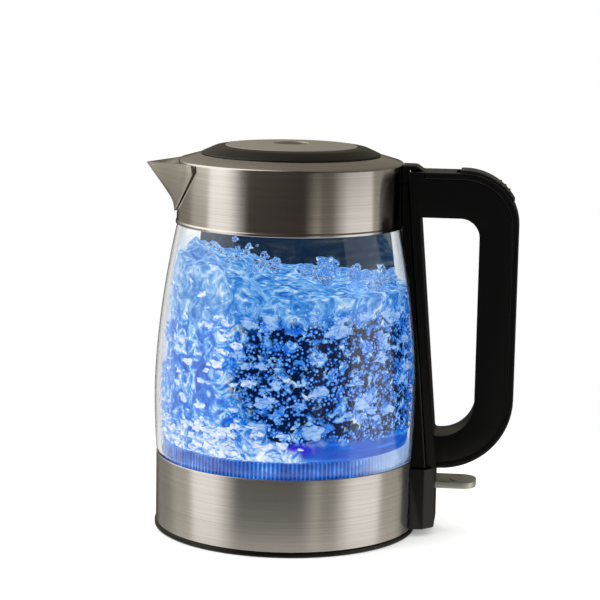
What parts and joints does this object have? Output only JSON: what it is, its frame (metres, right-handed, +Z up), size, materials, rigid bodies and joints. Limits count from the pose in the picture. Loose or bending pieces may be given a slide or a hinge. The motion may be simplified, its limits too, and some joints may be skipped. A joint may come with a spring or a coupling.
{
  "type": "electric kettle",
  "caption": "Cordless glass electric kettle with steel collar and base band, black D-shaped handle, hinged lid, pouring spout, on/off lever and heated, lit base.",
  "frame": {"origin": "on the jug's vertical axis, at the surface the kettle stands on", "axes": "+Z up; +X from the jug's axis towards the handle; the spout points along -X; the lid's and switch's pivots lie along Y"},
  "size_m": [0.2184, 0.1554, 0.2259],
  "materials": {
    "glass": "clear borosilicate glass, fire polished",
    "brushed_steel": "horizontally brushed stainless steel",
    "satin_steel": "satin stainless steel",
    "black_plastic": "black moulded polypropylene, semi gloss",
    "dark_plastic": "dark grey glass-filled nylon, matt",
    "badge": "dark recessed disc, satin",
    "silicone": "food-grade silicone, milky",
    "light_guide": "clear moulded ring, ribbed",
    "aluminium": "die cast and drawn aluminium",
    "brass": "bright brass contacts",
    "circuit_board": "green circuit board",
    "spring_steel": "bright steel wire and pins",
    "wire_insulation": "red lead insulation"
  },
  "bodies": {
    "jug": {"base_moulding": "black_plastic", "base_screw_1": "spring_steel", "base_screw_2": "spring_steel", "base_screw_3": "spring_steel", "bimetal_disc": "spring_steel", "button_pin": "spring_steel", "button_spring": "spring_steel", "clamp_ring": "dark_plastic", "collar": "brushed_steel", "collar_liner": "dark_plastic", "connector_pin": "brass", "connector_socket": "dark_plastic", "contact_ring": "brass", "glass_jug": "glass", "glass_top_seal": "silicone", "handle_cover": "black_plastic", "handle_shell": "black_plastic", "heat_diffuser": "aluminium", "heating_element": "aluminium", "heating_plate": "satin_steel", "hinge_bracket": "dark_plastic", "hinge_pin": "spring_steel", "led_board": "circuit_board", "lever_pin": "spring_steel", "lid_spring": "spring_steel", "light_lead_live": "wire_insulation", "light_lead_neutral": "dark_plastic", "light_ring": "light_guide", "lower_band": "brushed_steel", "plate_seal": "silicone", "spine": "black_plastic", "spine_cap": "black_plastic", "spout": "brushed_steel", "steam_tube": "silicone", "switch_housing": "black_plastic", "terminal_pin_live": "spring_steel", "terminal_pin_neutral": "spring_steel", "thermostat_control": "dark_plastic"},
    "lid": {"lid_ring": "black_plastic", "lid_disc": "satin_steel", "lid_badge": "badge", "lid_skirt": "dark_plastic", "lid_inner_plate": "satin_steel", "lid_seal": "silicone", "lid_arm": "dark_plastic"},
    "release_button": {"release_button": "black_plastic"},
    "latch": {"latch_slider": "dark_plastic"},
    "lever": {"switch_lever": "satin_steel"},
    "filter": {"filter_frame": "dark_plastic", "filter_mesh": "spring_steel"}
  },
  "joints": [
    {"name": "lid_hinge", "type": "hinge", "parent": "jug", "child": "lid", "pos_m": [0.055, 0, 0.2135], "axis": [0, 1, 0], "range_deg": [0, 75]},
    {"name": "button_press", "type": "hinge", "parent": "jug", "child": "release_button", "pos_m": [0.12152, 0, 0.19686], "axis": [0, -1, 0], "range_deg": [0, 5], "stiffness_Nm_per_rad": 1.5, "deforming": ["button_spring"]},
    {"name": "latch_slide", "type": "slide", "parent": "jug", "child": "latch", "axis": [1, 0, 0], "range_m": [0, 0.0028]},
    {"name": "lever_switch", "type": "hinge", "parent": "jug", "child": "lever", "pos_m": [0.082, 0, 0.0295], "axis": [0, -1, 0], "range_deg": [0, 12]},
    {"name": "filter_slide", "type": "slide", "parent": "jug", "child": "filter", "axis": [1, 0, 0], "range_m": [0, 0.01]}
  ],
  "couplings": [
    {"joint": "latch_slide", "follows": "button_press", "m_per_rad": 0.032}
  ]
}
